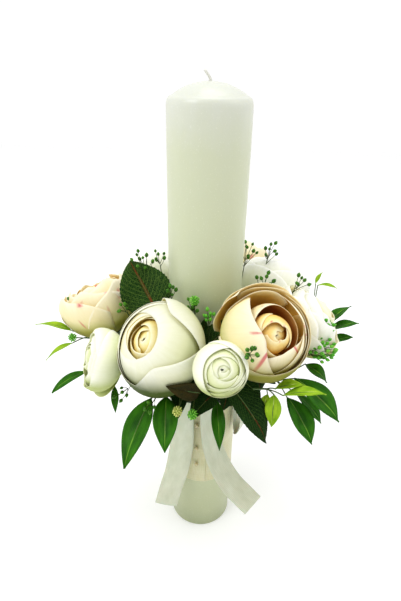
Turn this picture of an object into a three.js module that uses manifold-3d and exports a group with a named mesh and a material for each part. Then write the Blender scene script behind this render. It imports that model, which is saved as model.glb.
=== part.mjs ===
// Unity candle with a collar of artificial flowers.
// A tall wax pillar stands on its own flat foot. Its lower third is wrapped in satin as a grip,
// and above the grip a plastic tray and a foam ring hold the stems of ten blooms, of rose leaves,
// ruscus, lime leaflets and bud sprigs. A ribbon bow under the collar lets two tails hang free.
// Millimetres, +Z up. The origin is the centre of the foot, and -Y is the front.
import * as THREE from 'three';
import { mergeVertices } from 'three/addons/utils/BufferGeometryUtils.js';
import Module from 'manifold-3d';

const wasm = await Module();
wasm.setup();

// ---------------------------------------------------------------- driving dimensions
const GAP = 0.3;        // air left between pieces that touch
const CLEARANCE = 0.5;  // skin added to a piece before its neighbours are cut back from it

const PILLAR = { radius: 35, shoulder: 466, dome: 14, edge: 3, foot: 1.5 };
const WICK = { radius: 1.2, bottom: 10, stub: 8 };
const WRAP = { bottom: 77, top: 209, thickness: 1.2 };
const TRAY = { bottom: 212, floor: 2, outer: 64, wall: 1.7, lip: 7 };
const FOAM = { height: 26, outer: 62 };
const PIN = { head: 2.4, shaft: 0.4, length: 16, azimuth: -98, heights: [162, 130, 106] };
const RIBBON = { width: 25, thickness: 0.6 };
const STEM = { bloom: 1.4, leaf: 0.9, twig: 0.6, depth: 10 };

const APEX = PILLAR.shoulder + PILLAR.dome;
const FOAM_FLOOR = TRAY.bottom + TRAY.floor + GAP;
const FOAM_TOP = FOAM_FLOOR + FOAM.height;
const SIDE_ENTRY = FOAM_FLOOR + 0.5 * FOAM.height;

const COLOURS = {
  wax: '#eceee0', cotton: '#f4f1e6', cream: '#e4dfc0', satin: '#dfe4d4', pearl: '#d9d2b4',
  foam: '#2f5a34', tray: '#22402a', ivory: '#f3f1e0', peach: '#f2e0b6', white: '#f4f5ea',
  greenish: '#eef1d8', amber: '#e0b060', heart: '#ead79a', stem: '#5f7f3a',
  rose: '#1f4a24', bronze: '#4a3a26', ruscus: '#2f6a24', lime: '#9fc83c', bud: '#5f9a44',
};
const ROUGHNESS = { wax: 0.4, pearl: 0.2, tray: 0.5, cream: 0.45, satin: 0.45, ruscus: 0.4, lime: 0.45 };
const PLAIN_ROUGHNESS = 0.7;

// ---------------------------------------------------------------- small helpers
const UP = new THREE.Vector3(0, 0, 1);
const rad = THREE.MathUtils.degToRad;

// A point at an azimuth round the candle, at a reach from its axis and a height above its foot.
function polar([azimuth, reach, height]) {
  return new THREE.Vector3(reach * Math.cos(rad(azimuth)), reach * Math.sin(rad(azimuth)), height);
}

// The unit direction with a given azimuth and elevation.
function heading(azimuth, elevation) {
  const flat = Math.cos(rad(elevation));
  return new THREE.Vector3(
    flat * Math.cos(rad(azimuth)), flat * Math.sin(rad(azimuth)), Math.sin(rad(elevation)));
}

// A closed three.js geometry as a solid, with its faces turned outwards.
function toSolid(geometry) {
  geometry.deleteAttribute('normal');
  geometry.deleteAttribute('uv');
  const merged = mergeVertices(geometry, 1e-4);
  const vertProperties = new Float32Array(merged.attributes.position.array);
  const triVerts = new Uint32Array(merged.index.array);
  let volume = 0;
  const corner = [0, 1, 2].map(() => new THREE.Vector3());
  for (let i = 0; i < triVerts.length; i += 3) {
    corner.forEach((c, k) => c.fromArray(vertProperties, 3 * triVerts[i + k]));
    volume += corner[0].dot(corner[1].clone().cross(corner[2]));
  }
  if (volume < 0) {
    for (let i = 0; i < triVerts.length; i += 3) {
      [triVerts[i + 1], triVerts[i + 2]] = [triVerts[i + 2], triVerts[i + 1]];
    }
  }
  return new wasm.Manifold(new wasm.Mesh({ numProp: 3, vertProperties, triVerts }));
}

function toGeometry(solid) {
  const mesh = solid.getMesh();
  const geometry = new THREE.BufferGeometry();
  geometry.setAttribute('position', new THREE.BufferAttribute(mesh.vertProperties, 3));
  geometry.setIndex(new THREE.BufferAttribute(mesh.triVerts, 1));
  geometry.computeVertexNormals();
  return geometry;
}

// The same solid with its skin moved outwards, to cut room for it in a neighbour.
function fatten(solid, by = CLEARANCE) {
  const geometry = toGeometry(solid);
  const { position, normal } = geometry.attributes;
  for (let i = 0; i < position.count; i += 1) {
    position.setXYZ(i,
      position.getX(i) + by * normal.getX(i),
      position.getY(i) + by * normal.getY(i),
      position.getZ(i) + by * normal.getZ(i));
  }
  return toSolid(geometry);
}

function join(solids) {
  return solids.reduce((whole, solid) => whole.add(solid));
}

function largest(solid) {
  return solid.decompose().sort((a, b) => b.volume() - a.volume())[0];
}

// A profile of [radius, height] points turned round the Z axis, then stood along an axis.
function lathe(profile, segments, origin = new THREE.Vector3(), axis = UP) {
  const geometry = new THREE.LatheGeometry(
    profile.map(([radius, height]) => new THREE.Vector2(radius, height)), segments);
  geometry.rotateX(Math.PI / 2);
  geometry.applyQuaternion(new THREE.Quaternion().setFromUnitVectors(UP, axis));
  geometry.translate(origin.x, origin.y, origin.z);
  return toSolid(geometry);
}

// A ring of rectangular section.
function ring(inner, outer, bottom, top, segments) {
  return lathe([[inner, bottom], [outer, bottom], [outer, top], [inner, top], [inner, bottom]],
    segments);
}

// A round rod along a smooth curve.
function rod(points, radius, sides = 5, steps = 6) {
  const section = new THREE.Shape(Array.from({ length: sides }, (_, i) => {
    const turn = 2 * Math.PI * i / sides;
    return new THREE.Vector2(radius * Math.cos(turn), radius * Math.sin(turn));
  }));
  const extrudePath = new THREE.CatmullRomCurve3(points);
  return toSolid(new THREE.ExtrudeGeometry(section, { steps, bevelEnabled: false, extrudePath }));
}

// A thin sheet: surface(u, v) gives the point and the normal for u in 0..1 and v in -1..1.
function sheet(stepsU, stepsV, thickness, surface) {
  let geometry = new THREE.BoxGeometry(1, 1, 1, stepsU, stepsV, 1);
  geometry.deleteAttribute('normal');
  geometry.deleteAttribute('uv');
  geometry = mergeVertices(geometry, 1e-4);
  const { position } = geometry.attributes;
  for (let i = 0; i < position.count; i += 1) {
    const { point, normal } = surface(position.getX(i) + 0.5, 2 * position.getY(i));
    point.addScaledVector(normal, position.getZ(i) * thickness);
    position.setXYZ(i, point.x, point.y, point.z);
  }
  return toSolid(geometry);
}

// ---------------------------------------------------------------- the candle
function pillar() {
  const { radius, shoulder, dome, edge, foot } = PILLAR;
  const bore = WICK.radius + GAP;
  const domeRadius = (radius * radius + dome * dome) / (2 * dome);
  const domeAt = (r) => APEX - domeRadius + Math.sqrt(domeRadius * domeRadius - r * r);
  return lathe([
    [0, 0], [radius - foot, 0], [radius, foot], [radius, shoulder - edge],
    [radius - 0.4 * edge, shoulder], [0.75 * radius, domeAt(0.75 * radius)],
    [0.4 * radius, domeAt(0.4 * radius)], [bore, domeAt(bore)],
    [bore, WICK.bottom - GAP], [0, WICK.bottom - GAP],
  ], 48);
}

// The wick runs straight up the bore and leans over where it comes out.
function wick() {
  const lean = [[0, APEX - 2], [0, APEX + 1], [-1.4, APEX + 4], [-4.5, APEX + WICK.stub]];
  const bottom = new THREE.Vector3(0, 0, WICK.bottom);
  const mouth = new THREE.Vector3(0, 0, APEX - 1);
  return rod([bottom, mouth], WICK.radius, 6, 1)
    .add(rod(lean.map(([x, z]) => new THREE.Vector3(x, 0, z)), WICK.radius, 6, 5));
}

// ---------------------------------------------------------------- the grip and the ribbon
function pearlPin(height) {
  const outwards = heading(PIN.azimuth, 0);
  const seat = PILLAR.radius + GAP + WRAP.thickness + GAP;
  const origin = outwards.clone().multiplyScalar(seat).setZ(height);
  const { head, shaft, length } = PIN;
  return lathe([
    [0, -length], [shaft, 1 - length], [shaft, 0], [0.75 * head, 0], [head, 0.8 * head],
    [0.75 * head, 1.5 * head], [0, 1.8 * head],
  ], 8, origin, outwards);
}

// A ribbon through hand-placed points; its width runs along sides, one per end.
function ribbon(points, [startSide, endSide], width = RIBBON.width, steps = 12) {
  const curve = new THREE.CatmullRomCurve3(points.map((p) => new THREE.Vector3(...p)));
  return sheet(steps, 1, RIBBON.thickness, (u, v) => {
    const side = new THREE.Vector3(...startSide).lerp(new THREE.Vector3(...endSide), u).normalize();
    const normal = side.clone().cross(curve.getTangent(u)).normalize();
    return { point: curve.getPoint(u).addScaledVector(side, 0.5 * width * v), normal };
  });
}

function knot() {
  const flatten = new THREE.Matrix4().makeScale(10, 4.2, 6);
  const geometry = new THREE.SphereGeometry(1, 12, 8);
  geometry.applyMatrix4(flatten);
  geometry.translate(-3, -41.8, 203);
  return toSolid(geometry);
}

const TAIL_LEFT = [
  [-21, -39, 196], [-21, -39, 176], [-21, -39.4, 142], [-23, -41, 122],
  [-27, -43, 99], [-33, -45, 76], [-39, -46.5, 50],
];
const TAIL_RIGHT = [
  [8, -41, 196], [8, -41, 179], [9, -42, 159], [11, -42.5, 143], [15, -44, 127],
  [23, -49, 110], [33, -56, 97], [44, -63, 89], [55, -70, 82],
];
const LOOP_RIGHT = [
  [35, -20, 206], [40, -22, 188], [44, -24, 166], [43, -22, 148],
  [39.5, -19, 140], [37, -16.5, 150], [36, -16, 175], [35.5, -15.5, 200],
];

// ---------------------------------------------------------------- the blooms
// [azimuth, reach, height] of the bloom's middle, its diameter, [azimuth, elevation] of the way
// it faces, where its stem enters the foam, and its colours.
const PEONIES = {
  peony_front_left: { at: [-118, 80, 279], size: 78, faces: [-124, 44], entry: [-118, 49],
    petals: 'ivory', heart: 'heart' },
  peony_front_right: { at: [-56, 86, 293], size: 75, faces: [-76, 34], entry: [-58, 49],
    petals: 'peach', heart: 'amber' },
  peony_right: { at: [-14, 100, 281], size: 72, faces: [3, 39], entry: [-14, 51],
    petals: 'white', heart: 'white' },
  peony_left: { at: [172, 107, 274], size: 79, faces: [144, 60], side: 174,
    petals: 'peach', heart: 'amber' },
  peony_right_back: { at: [30, 82, 287], size: 76, faces: [59, 53], entry: [24, 49],
    petals: 'white', heart: 'white' },
  peony_back_left: { at: [128, 98, 284], size: 66, faces: [125, 50], entry: [128, 50],
    petals: 'white', heart: 'heart' },
  peony_back_right: { at: [68, 108, 292], size: 66, faces: [60, 50], entry: [68, 50],
    petals: 'peach', heart: 'amber' },
};
const RANUNCULI = {
  ranunculus_front: { at: [-84, 112, 288], size: 42, faces: [-85, 32], entry: [-86, 49] },
  ranunculus_left: { at: [-147, 110, 258], size: 50, faces: [-166, 18], entry: [-146, 51] },
  ranunculus_back: { at: [97, 105, 275], size: 46, faces: [97, 35], entry: [97, 50] },
};

// Outline of a bloom from its lowest point to its rim, in bloom radii.
const CUP_OUTSIDE = [[0, -0.8], [0.46, -0.68], [0.85, -0.34], [1, 0.02], [0.94, 0.34], [0.76, 0.54]];
const CUP_INSIDE = [[0.68, 0.5], [0.82, 0.3], [0.86, 0.02], [0.72, -0.26], [0.36, -0.54], [0, -0.62]];
const HEART = [[0, -0.56], [0.4, -0.42], [0.64, -0.1], [0.7, 0.2], [0.5, 0.5], [0, 0.62]];
const BALL_TOP = [[0.5, 0.7], [0, 0.78]];

function scaled(profile, radius) {
  return profile.map(([r, h]) => [r * radius, h * radius]);
}

// The calyx under a bloom, and the stem from it down into the foam.
function bloomStem(bloom, centre, axis, radius) {
  const seat = centre.clone().addScaledVector(axis, -0.8 * radius - GAP);
  const calyx = lathe([[0, -6], [2.2, -5], [0.2 * radius, -1], [0.12 * radius, 0], [0, 0]],
    8, seat, axis);
  const start = seat.clone().addScaledVector(axis, -4);
  const path = [start, start.clone().addScaledVector(axis, -4)];
  if (bloom.side === undefined) {
    path.push(polar([...bloom.entry, FOAM_TOP + 5]), polar([...bloom.entry, FOAM_TOP - STEM.depth]));
  } else {
    path.push(polar([bloom.side, FOAM.outer + 6, SIDE_ENTRY + 1]),
      polar([bloom.side, FOAM.outer - STEM.depth, SIDE_ENTRY]));
  }
  return calyx.add(rod(path, STEM.bloom, 5, 5));
}

function peony(name, bloom) {
  const radius = bloom.size / 2;
  const centre = polar(bloom.at);
  const axis = heading(...bloom.faces);
  const cup = lathe(scaled([...CUP_OUTSIDE, ...CUP_INSIDE], radius), 20, centre, axis);
  const envelope = lathe(scaled([...CUP_OUTSIDE, [0, 0.66]], radius), 20, centre, axis);
  return [
    { name: `${name}_petals`, family: name, colour: bloom.petals, solid: cup, envelope },
    { name: `${name}_heart`, family: name, colour: bloom.heart,
      solid: lathe(scaled(HEART, radius), 14, centre, axis) },
    { name: `${name}_stem`, family: name, colour: 'stem',
      solid: bloomStem(bloom, centre, axis, radius) },
  ];
}

function ranunculus(name, bloom) {
  const radius = bloom.size / 2;
  const centre = polar(bloom.at);
  const axis = heading(...bloom.faces);
  return [
    { name: `${name}_petals`, family: name, colour: 'greenish',
      solid: lathe(scaled([...CUP_OUTSIDE, ...BALL_TOP], radius), 18, centre, axis) },
    { name: `${name}_stem`, family: name, colour: 'stem',
      solid: bloomStem(bloom, centre, axis, radius) },
  ];
}

// ---------------------------------------------------------------- the foliage
// A blade from base to tip, arched towards its upper face and folded along its midrib.
function blade({ base, tip, width, face, arch = 0.1, fold = 0.18 }) {
  const from = polar(base);
  const to = polar(tip);
  const along = to.clone().sub(from);
  const length = along.length();
  const upper = face ? new THREE.Vector3(...face) : UP.clone();
  const side = upper.clone().cross(along).normalize();
  const rise = along.clone().cross(side).normalize().multiplyScalar(2 * arch * length);
  const middle = from.clone().add(to).multiplyScalar(0.5).add(rise);
  const spine = new THREE.QuadraticBezierCurve3(from, middle, to);
  const steps = width > 12 ? 6 : 4;
  return sheet(steps, 2, 0.8, (u, v) => {
    const half = 0.5 * width * Math.max(0.05, Math.sin(Math.PI * u ** 0.85) ** 0.8);
    const normal = spine.getTangent(u).cross(side).normalize();
    const point = spine.getPoint(u).addScaledVector(side, v * half);
    return { point: point.addScaledVector(normal, fold * half * Math.abs(v)), normal };
  });
}

// A spray: one stalk out of the foam to its fork, and a twig from the fork to each blade.
function spray({ top, side, fork, blades }) {
  const inside = top
    ? polar([...top, FOAM_TOP - STEM.depth])
    : polar([side, FOAM.outer - STEM.depth, SIDE_ENTRY]);
  const outside = top
    ? polar([...top, FOAM_TOP + 4])
    : polar([side, FOAM.outer + 4, SIDE_ENTRY + 0.5]);
  const forkPoint = polar(fork ?? blades[0].base);
  const stalk = rod([inside, outside, forkPoint], STEM.leaf, 4, 3);
  const back = outside.clone().sub(forkPoint).normalize();
  const twigs = (fork ? blades : []).map(({ base }, i) => (
    rod([forkPoint.clone().addScaledVector(back, 0.4 + 0.3 * i), polar(base)], STEM.twig, 4, 1)));
  return join([stalk, ...twigs, ...blades.map((each) => blade(each))]);
}

const TO_FRONT = [0, -0.85, 0.5];
const ROSE_LEAVES = {
  rose_leaf_left: { top: [-156, 44],
    blades: [{ base: [-158, 48, 284], tip: [176, 72, 326], width: 48, face: TO_FRONT, arch: 0.04 }] },
  rose_leaf_centre: { top: [-92, 41], fork: [-92, 40, 254],
    blades: [
      { base: [-89, 43, 262], tip: [-53, 45, 301], width: 24, face: TO_FRONT, arch: 0.05 },
      { base: [-94, 40, 259], tip: [-90, 40, 290], width: 14, face: [0, -1, 0.2], arch: 0.02 },
    ] },
  rose_leaf_front: { top: [-76, 57], fork: [-78, 84, 258],
    blades: [{ base: [-79, 97, 262], tip: [-68, 132, 225], width: 29 }] },
  rose_leaf_bronze: { top: [-99, 57], fork: [-93, 80, 244],
    blades: [{ base: [-92, 93, 250], tip: [-105, 114, 270], width: 15, face: TO_FRONT }] },
  rose_leaf_under: { side: -86,
    blades: [{ base: [-84, 84, 240], tip: [-96, 103, 229], width: 22 }] },
  rose_leaf_back_left: { side: 116,
    blades: [{ base: [114, 92, 246], tip: [112, 134, 222], width: 28 }] },
  rose_leaf_back_right: { side: 50,
    blades: [{ base: [48, 94, 246], tip: [46, 136, 224], width: 28 }] },
};

const RUSCUS = {
  ruscus_front_left: { side: -114, fork: [-114, 82, 236], blades: [
    { base: [-118, 96, 236], tip: [-116, 144, 201], width: 22 },
    { base: [-111, 90, 238], tip: [-104, 127, 213], width: 21 },
  ] },
  ruscus_front: { side: -80, blades: [{ base: [-82, 81, 232], tip: [-83, 114, 206], width: 12 }] },
  ruscus_front_right: { side: -42, fork: [-42, 90, 238], blades: [
    { base: [-45, 105, 231], tip: [-48, 139, 205], width: 21 },
    { base: [-36, 106, 225], tip: [-37, 133, 207], width: 14 },
    { base: [-38, 103, 244], tip: [-40, 150, 224], width: 24 },
    { base: [-24, 104, 245], tip: [-28, 127, 237], width: 17 },
  ] },
  ruscus_right: { side: -2, fork: [-2, 104, 240], blades: [
    { base: [0, 122, 262], tip: [2, 146, 282], width: 15 },
    { base: [-2, 124, 258], tip: [-3, 152, 270], width: 14 },
    { base: [-6, 122, 248], tip: [-5, 147, 257], width: 12 },
  ] },
  ruscus_left: { side: -156, fork: [-154, 100, 234], blades: [
    { base: [-158, 120, 233], tip: [-154, 153, 225], width: 11 },
    { base: [-144, 101, 228], tip: [-136, 110, 212], width: 7 },
  ] },
  ruscus_back: { side: 84, fork: [84, 86, 236], blades: [
    { base: [80, 98, 236], tip: [76, 146, 206], width: 22 },
    { base: [90, 94, 236], tip: [94, 134, 208], width: 20 },
  ] },
};

const LIME = {
  lime_leaf_left: { side: -176, fork: [-175, 116, 250], blades: [
    { base: [-176, 132, 256], tip: [-177, 167, 262], width: 11 },
    { base: [-171, 130, 249], tip: [-168, 156, 236], width: 8 },
  ] },
  lime_leaf_front_right: { side: -60, fork: [-60, 104, 253], blades: [
    { base: [-58, 110, 256], tip: [-50, 127, 263], width: 8 },
    { base: [-58, 120, 256], tip: [-48, 144, 262], width: 8 },
    { base: [-60, 114, 254], tip: [-65, 128, 236], width: 9 },
    { base: [-61, 108, 251], tip: [-67, 119, 239], width: 6 },
  ] },
  lime_leaf_right: { side: 14, fork: [13, 118, 254], blades: [
    { base: [17, 124, 290], tip: [12, 140, 290], width: 7 },
    { base: [19, 124, 290], tip: [20, 132, 301], width: 5 },
  ] },
};

// A bud sprig: a stem from the foam to its tip, and short twigs with a round bud on each.
function budSprig({ root, tip, spread }) {
  const foot = polar([...root, FOAM_TOP - STEM.depth]);
  const crown = polar(tip);
  const stem = rod([foot, polar([...root, FOAM_TOP + 6]), crown], STEM.leaf, 4, 4);
  const buds = [[-1, 0.2, -0.6], [1, -0.2, -0.3], [-0.6, -0.5, 0.5], [0.7, 0.5, 0.6], [0, 0, 1]];
  const twigs = buds.map(([x, y, z], i) => {
    const bud = crown.clone().add(new THREE.Vector3(x, y, z).multiplyScalar(spread));
    const ball = new THREE.SphereGeometry(1.8, 5, 3).translate(bud.x, bud.y, bud.z);
    const fork = crown.clone().addScaledVector(UP, -0.6 * (i + 1));
    return rod([fork, bud], STEM.twig, 4, 1).add(toSolid(ball));
  });
  return join([stem, ...twigs]);
}

const BUD_SPRIGS = {
  bud_sprig_left: { root: [170, 45], tip: [172, 56, 320], spread: 8 },
  bud_sprig_front: { root: [-106, 42], tip: [-104, 46, 304], spread: 6 },
  bud_sprig_back: { root: [42, 42], tip: [34, 50, 328], spread: 8 },
  bud_sprig_right: { root: [-36, 57], tip: [-28, 60, 322], spread: 7 },
};

// ---------------------------------------------------------------- assembly
const byName = (group, make) => Object.entries(group).map(([name, data]) => make(name, data));
const plain = (family, colour, build) => (name, data) => (
  { name, family, colour, solid: build(data) });

const HANDLE_WRAP = ring(PILLAR.radius + GAP, PILLAR.radius + GAP + WRAP.thickness,
  WRAP.bottom, WRAP.top, 40);
const TRAY_SHELL = lathe([
  [PILLAR.radius + GAP, TRAY.bottom], [TRAY.outer, TRAY.bottom],
  [TRAY.outer, TRAY.bottom + TRAY.lip], [TRAY.outer - TRAY.wall, TRAY.bottom + TRAY.lip],
  [TRAY.outer - TRAY.wall, TRAY.bottom + TRAY.floor],
  [PILLAR.radius + GAP, TRAY.bottom + TRAY.floor], [PILLAR.radius + GAP, TRAY.bottom],
], 40);
const FOAM_RING = ring(PILLAR.radius + GAP, FOAM.outer, FOAM_FLOOR, FOAM_TOP, 40);

// Each piece is cut back from those before it, so the list runs from what gives shape to what
// gives way: pins before wax and satin, blooms before stems, stems before leaves, foam last.
const pieces = [
  ...PIN.heights.map((height, i) => (
    { name: `pearl_pin_${i + 1}`, family: 'grip', colour: 'pearl', solid: pearlPin(height) })),
  { name: 'wick', family: 'candle', colour: 'cotton', solid: wick(), exact: true },
  { name: 'candle_pillar', family: 'candle', colour: 'wax', solid: pillar(), exact: true },
  { name: 'ribbon_wrap', family: 'grip', colour: 'cream', solid: HANDLE_WRAP, exact: true },
  { name: 'ring_tray', family: 'collar', colour: 'tray', solid: TRAY_SHELL, exact: true },
  { name: 'ribbon_knot', family: 'bow', colour: 'satin', solid: knot() },
  { name: 'ribbon_tail_left', family: 'bow', colour: 'satin',
    solid: ribbon(TAIL_LEFT, [[0.97, -0.24, 0], [0.89, 0.04, -0.45]]) },
  { name: 'ribbon_tail_right', family: 'bow', colour: 'satin',
    solid: ribbon(TAIL_RIGHT, [[0.8, 0.6, 0], [0.25, 0.58, 0.78]]) },
  { name: 'ribbon_loop_right', family: 'bow', colour: 'satin',
    solid: ribbon(LOOP_RIGHT, [[0.45, 0.89, 0], [0.45, 0.89, 0]], 18) },
  ...byName(PEONIES, peony).flat(),
  ...byName(RANUNCULI, ranunculus).flat(),
  ...byName(ROSE_LEAVES, plain('leaf', 'rose', spray)),
  ...byName(RUSCUS, plain('leaf', 'ruscus', spray)),
  ...byName(LIME, plain('leaf', 'lime', spray)),
  ...byName(BUD_SPRIGS, plain('sprig', 'bud', budSprig)),
  { name: 'foam_ring', family: 'collar', colour: 'foam', solid: FOAM_RING, exact: true },
];

function boxesMeet(a, b) {
  const one = a.boundingBox();
  const two = b.boundingBox();
  return [0, 1, 2].every((k) => one.min[k] <= two.max[k] && two.min[k] <= one.max[k]);
}

// Cuts every piece back from the ones before it and keeps its main body.
function settle(list) {
  const keepouts = [];
  for (const piece of list) {
    for (const { other, near, far } of keepouts) {
      const bothExact = piece.exact && other.exact;
      const cutter = other.family === piece.family ? near : far;
      if (!bothExact && boxesMeet(piece.solid, cutter)) {
        piece.solid = piece.solid.subtract(cutter);
      }
    }
    piece.solid = largest(piece.solid);
    const near = fatten(piece.solid);
    keepouts.push({ other: piece, near, far: piece.envelope ? fatten(piece.envelope) : near });
  }
  return list;
}

const FAMILIES = {};
const unityCandle = new THREE.Group();
for (const piece of settle(pieces)) {
  const { name, family, colour, solid } = piece;
  if (!FAMILIES[family]) {
    FAMILIES[family] = new THREE.Group();
    FAMILIES[family].name = family;
    unityCandle.add(FAMILIES[family]);
  }
  const material = new THREE.MeshStandardMaterial({
    color: COLOURS[colour], roughness: ROUGHNESS[colour] ?? PLAIN_ROUGHNESS, metalness: 0 });
  const mesh = new THREE.Mesh(toGeometry(solid), material);
  mesh.name = name;
  FAMILIES[family].add(mesh);
}

export default unityCandle;
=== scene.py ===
# Looks for the unity candle: a wax pillar, a satin grip and a collar of artificial flowers.
# Lengths in the tables are millimetres of the CAD model, and MM turns them into metres. A place
# round the candle is (azimuth in degrees, reach from its axis, height above its foot).
import math

import bpy
import numpy as np
from mathutils import Matrix, Vector


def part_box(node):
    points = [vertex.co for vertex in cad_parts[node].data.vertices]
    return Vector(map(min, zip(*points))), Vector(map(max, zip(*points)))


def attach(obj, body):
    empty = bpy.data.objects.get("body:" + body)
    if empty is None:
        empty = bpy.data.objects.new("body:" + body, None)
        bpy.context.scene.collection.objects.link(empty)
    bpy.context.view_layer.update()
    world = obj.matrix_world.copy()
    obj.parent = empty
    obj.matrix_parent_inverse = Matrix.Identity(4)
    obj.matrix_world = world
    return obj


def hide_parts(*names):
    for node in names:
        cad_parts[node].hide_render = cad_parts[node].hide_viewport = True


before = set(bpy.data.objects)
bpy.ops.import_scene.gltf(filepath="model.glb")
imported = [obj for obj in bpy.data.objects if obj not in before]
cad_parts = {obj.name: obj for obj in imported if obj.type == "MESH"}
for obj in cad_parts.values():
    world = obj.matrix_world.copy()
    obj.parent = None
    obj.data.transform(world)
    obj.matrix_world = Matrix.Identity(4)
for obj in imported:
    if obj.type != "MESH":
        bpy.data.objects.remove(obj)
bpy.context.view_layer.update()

# ---- the frame's own sizes
FOAM_LOW, FOAM_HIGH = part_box("foam_ring")
TRAY_LOW, TRAY_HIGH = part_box("ring_tray")
WRAP_LOW, WRAP_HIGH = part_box("ribbon_wrap")
PILLAR_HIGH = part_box("candle_pillar")[1]
WICK_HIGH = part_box("wick")[1]
FOAM_RADIUS = 62.0
MM = FOAM_HIGH.x / FOAM_RADIUS   # one millimetre of the CAD model
PILLAR_R = PILLAR_HIGH.x
FOAM_TOP = FOAM_HIGH.z / MM
SIDE_ENTRY = 0.5 * (FOAM_LOW.z + FOAM_HIGH.z) / MM
STEM_DEPTH = 9.0

# ---- directions and places


def heading(azimuth, elevation=0.0):
    a, e = math.radians(azimuth), math.radians(elevation)
    return np.array([math.cos(e) * math.cos(a), math.cos(e) * math.sin(a), math.sin(e)])


def polar(azimuth, reach, height):
    """A point, in metres, at an azimuth and reach round the candle and a height above its foot."""
    flat = heading(azimuth)
    return MM * np.array([reach * flat[0], reach * flat[1], height])


def upright(height):
    return np.array([0, 0, height])


def unit_vector(v):
    v = np.asarray(v, float)
    return v / np.maximum(np.linalg.norm(v, axis=-1, keepdims=True), 1e-12)


def circle(count):
    """The cosines and sines of even steps round a circle, as columns."""
    a = 2 * math.pi * np.arange(count)[:, None] / count
    return np.cos(a), np.sin(a)


def from_foam(azimuth, reach, rise):
    """A stem's foot in the foam, and a point above where it comes out."""
    return [polar(azimuth, reach, FOAM_TOP - STEM_DEPTH), polar(azimuth, reach, FOAM_TOP + rise)]


def spline(points, count):
    """count points along a smooth curve through the given ones, evenly spaced."""
    p = np.asarray(points, float)
    q = np.vstack([2 * p[0] - p[1], p, 2 * p[-1] - p[-2]])
    fine = []
    for i in range(len(p) - 1):
        a, b, c, d = q[i:i + 4]
        for t in np.linspace(0, 1, 24, endpoint=i == len(p) - 2):
            fine.append(0.5 * (2 * b + (c - a) * t + (2 * a - 5 * b + 4 * c - d) * t**2
                               + (3 * b - a - 3 * c + d) * t**3))
    fine = np.array(fine)
    run = np.concatenate([[0], np.cumsum(np.linalg.norm(np.diff(fine, axis=0), axis=1))])
    at = np.linspace(0, run[-1], count)
    return np.stack([np.interp(at, run, fine[:, k]) for k in range(3)], axis=1)


def quadratic(a, b, c, count):
    t = np.linspace(0, 1, count)[:, None]
    return (1 - t)**2 * a + 2 * t * (1 - t) * b + t**2 * c


# ---- mesh making


def uv_grid(v, u):
    v, u = np.meshgrid(v, u, indexing="ij")
    return np.stack([u, v], axis=2).reshape(-1, 2)


def ring_faces(at):
    """Four-sided faces between rings of point numbers, each ring closed on itself."""
    following = np.roll(at, -1, axis=1)
    corners = [at[:-1], following[:-1], following[1:], at[1:]]
    return np.stack(corners, axis=2).reshape(-1, 4).tolist()


def add_object(name, data):
    made = bpy.data.objects.new(name, data)
    bpy.context.scene.collection.objects.link(made)
    return made


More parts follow.
